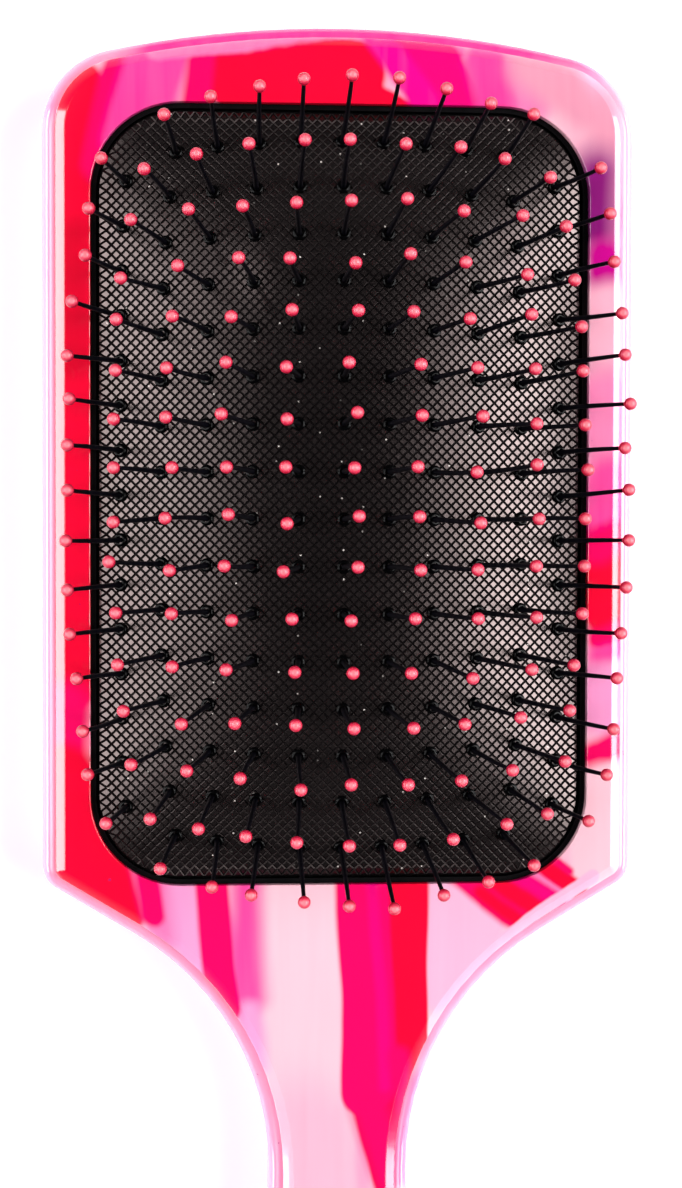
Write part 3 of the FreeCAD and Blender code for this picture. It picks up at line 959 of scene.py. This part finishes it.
def make_rubber(name, gloss, roughness):
    """Charcoal rubber with a faint bloom and scattered dust."""
    material, tree, shader, place = new_material(name)
    patch = noise(tree, place, 0.09, 3.0).outputs[0]
    fine = noise(tree, place, 1.6, 4.0, 0.6).outputs[0]
    shade = calculate(tree, "MULTIPLY_ADD", fine, 0.6, calculate(tree, "MULTIPLY", patch, 0.5))
    bloom = soft_step(tree, shade, 0.25, 0.85)
    base = blend_colours(tree, bloom, colour(8, 7, 8), colour(19, 16, 17))
    tree.links.new(dusted(tree, place, base), shader.inputs["Base Color"])
    tree.links.new(calculate(tree, "MULTIPLY_ADD", fine, 0.14, roughness), shader.inputs["Roughness"])
    shader.inputs["Specular IOR Level"].default_value = gloss
    shader.inputs["Specular Tint"].default_value = WARM_SHEEN
    set_bump(tree, shader, noise(tree, place, 5.0, 3.0).outputs[0], 0.13, 0.05 * MM)
    return material


def make_plastic(name, dark, light, roughness, gloss=0.5):
    """Moulded plastic or smooth rubber with a faint mottling and a fine grain."""
    material, tree, shader, place = new_material(name)
    mottle = noise(tree, place, 0.5, 4.0, 0.6).outputs[0]
    base = blend_colours(tree, soft_step(tree, mottle, 0.3, 0.7), dark, light)
    tree.links.new(base, shader.inputs["Base Color"])
    tree.links.new(calculate(tree, "MULTIPLY_ADD", mottle, 0.12, roughness), shader.inputs["Roughness"])
    shader.inputs["Specular IOR Level"].default_value = gloss
    set_bump(tree, shader, noise(tree, place, 4.0, 3.0).outputs[0], 0.12, 0.04 * MM)
    return material


def make_coral(name):
    """Glossy coral of the ball tips, with painted shading: a painted highlight on the crown and painted
    shade in a deeper red low down.
    """
    material, tree, shader, place = new_material(name)
    normal = put(tree, "ShaderNodeNewGeometry").outputs["Normal"]
    up = put(tree, "ShaderNodeSeparateXYZ", {0: normal}).outputs[2]
    # Painted shade: the red deepens where the ball's surface faces sideways and down.
    low = blend_colours(tree, soft_step(tree, up, 0.40, 0.80), colour(186, 0, 52), colour(226, 44, 84))
    # Painted highlight: the crown turns pale coral where the surface faces up.
    base = blend_colours(tree, soft_step(tree, up, 0.74, 0.98), low, colour(255, 134, 146))
    mottle = noise(tree, place, 1.2, 3.0).outputs[0]
    tint = blend_colours(tree, calculate(tree, "MULTIPLY", mottle, 0.12), base, colour(255, 84, 96))
    tree.links.new(tint, shader.inputs["Base Color"])
    shader.inputs["Roughness"].default_value = 0.28
    shader.inputs["Subsurface Weight"].default_value = 0.25
    shader.inputs["Subsurface Radius"].default_value = (0.8 * MM, 0.3 * MM, 0.3 * MM)
    set_bump(tree, shader, mottle, 0.08, 0.05 * MM)
    return material


def repaint(node, material):
    """Gives a CAD node's object this material alone."""
    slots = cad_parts[node].data.materials
    slots.clear()
    slots.append(material)


# ---------------------------------------------------------------- the brush

FACE_CLOUDS = [(0.30, HOT_PINK), (0.38, ORCHID), (0.46, PALE), (0.54, BLUSH), (0.62, PALE), (0.72, ROSE)]
BACK_CLOUDS = [(0.28, RED), (0.36, ORCHID), (0.44, ROSE), (0.52, PALE), (0.60, ORCHID_MIST), (0.70, CERISE)]
streak_group()
front = make_front_shell(make_marble("marbled_face", FACE_STREAKS, FACE_CLOUDS))
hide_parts("front_shell")
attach(front, "paddle")
back = make_back_shell(make_marble("marbled_back", BACK_STREAKS, BACK_CLOUDS))
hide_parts("back_shell")
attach(back, "paddle")
make_cushion(make_rubber("charcoal_rubber", 1.0, 0.14), make_rubber("flank_rubber", 0.26, 0.26))
make_collars(make_plastic("collar_rubber", colour(1, 1, 2), colour(4, 4, 5), 0.07, gloss=0.11))
make_columns(
    make_plastic("pin_nylon", colour(3, 3, 8), colour(8, 7, 15), 0.24, gloss=0.16),
    make_coral("tip_coral"),
)
# The ring is black plastic, made darker than the rubber as painted shade for the recess it sits in.
repaint("retaining_ring", make_plastic("ring_plastic", colour(2, 2, 3), colour(6, 5, 7), 0.34, gloss=0.10))
repaint("cushion_tray", make_plastic("tray_plastic", colour(9, 8, 10), colour(20, 18, 21), 0.45))


# ---------------------------------------------------------------- floor, light and camera

FLOOR_HALF = 1.5
FLOOR_DROP = 0.1 * MM  # under the brush


def make_floor():
    """A pale floor much larger than the brush."""
    mesh = bpy.data.meshes.new("floor")
    corners = [(x * FLOOR_HALF, y * FLOOR_HALF, 0) for x, y in ((-1, -1), (1, -1), (1, 1), (-1, 1))]
    mesh.from_pydata(corners, [], [(0, 1, 2, 3)])
    material, tree, shader, place = new_material("pale_floor")
    paper = noise(tree, place, 0.02, 3.0).outputs[0]
    base = blend_colours(tree, paper, colour(253, 253, 254), colour(255, 255, 255))
    tree.links.new(base, shader.inputs["Base Color"])
    shader.inputs["Roughness"].default_value = 0.9
    shader.inputs["Specular IOR Level"].default_value = 0.1
    shader.inputs["Emission Color"].default_value = (1, 1, 1, 1)
    shader.inputs["Emission Strength"].default_value = 0.14
    mesh.materials.append(material)
    floor = bpy.data.objects.new("floor", mesh)
    SCENE.collection.objects.link(floor)
    floor.location.z = back_low.z - FLOOR_DROP


def add_area_light(name, place, width, height, power):
    """A rectangular light that faces the middle of the cushion, its width level."""
    light = bpy.data.lights.new(name, "AREA")
    light.shape = "RECTANGLE"
    light.size = width
    light.size_y = height
    light.energy = power
    lamp = bpy.data.objects.new(name, light)
    lamp.location = place
    towards = Vector((0, CUSHION_Y, FACE_Z)) - Vector(place)
    lamp.rotation_euler = towards.to_track_quat("-Z", "Y").to_euler()
    SCENE.collection.objects.link(lamp)


def set_world(left, right, horizon, elsewhere):
    """White panels high on the left and right, a low glow all round, and little from overhead.

    The panels and the glow begin and end at parts of the unit direction that light comes from.
    """
    world = bpy.data.worlds.new("studio")
    world.use_nodes = True
    tree = world.node_tree
    direction = put(tree, "ShaderNodeTexCoord").outputs["Generated"]
    parts = put(tree, "ShaderNodeSeparateXYZ", {0: direction}).outputs
    on_left = soft_step(tree, parts[0], -0.28, -0.64)
    on_right = soft_step(tree, parts[0], 0.35, 0.72)
    sides = calculate(tree, "MULTIPLY_ADD", on_right, right, calculate(tree, "MULTIPLY", on_left, left))
    raised = soft_step(tree, parts[2], 0.55, 0.70)
    abreast = soft_step(tree, calculate(tree, "ABSOLUTE", parts[1]), 0.46, 0.14)
    panel = calculate(tree, "MULTIPLY", calculate(tree, "MULTIPLY", sides, raised), abreast)
    low = soft_step(tree, parts[2], 0.20, 0.04)
    strength = calculate(tree, "ADD", panel, elsewhere)
    strength = calculate(tree, "MULTIPLY_ADD", low, horizon - elsewhere, strength)
    background = tree.nodes["Background"]
    background.inputs["Color"].default_value = (1, 1, 1, 1)
    tree.links.new(strength, background.inputs["Strength"])
    SCENE.world = world


def add_camera(place, target, roll, lens):
    """The camera, from above, with the handle at the foot of the picture."""
    camera = bpy.data.objects.new("camera", bpy.data.cameras.new("camera"))
    camera.data.lens = lens
    camera.data.sensor_width = 36
    camera.data.clip_start = 0.01
    back = (Vector(place) - Vector(target)).normalized()
    side = Vector((0, 1, 0)).cross(back).normalized()
    up = back.cross(side)
    turned = Matrix((side, up, back)).transposed() @ Matrix.Rotation(math.radians(roll), 3, "Z")
    camera.matrix_world = Matrix.Translation(place) @ turned.to_4x4()
    SCENE.collection.objects.link(camera)
    bpy.context.scene.camera = camera


make_floor()
set_world(left=6.8, right=14.0, horizon=0.5, elsewhere=0.06)
add_area_light("left_softbox", (-0.60, CUSHION_Y, 0.12), 0.62, 0.17, 3.5)
add_area_light("right_softbox", (0.60, CUSHION_Y, 0.12), 0.62, 0.17, 3.5)
add_area_light("key_lamp", (-0.18, CUSHION_Y + 0.20, 0.60), 0.02, 0.02, 0.05)
SCENE.view_settings.view_transform = "Standard"
add_camera(
    place=(-22.6 * MM, CUSHION_Y - 4.5 * MM, 331.9 * MM),
    target=(0, CUSHION_Y - 13.95 * MM, FACE_Z),
    roll=0.15,
    lens=67.72,
)
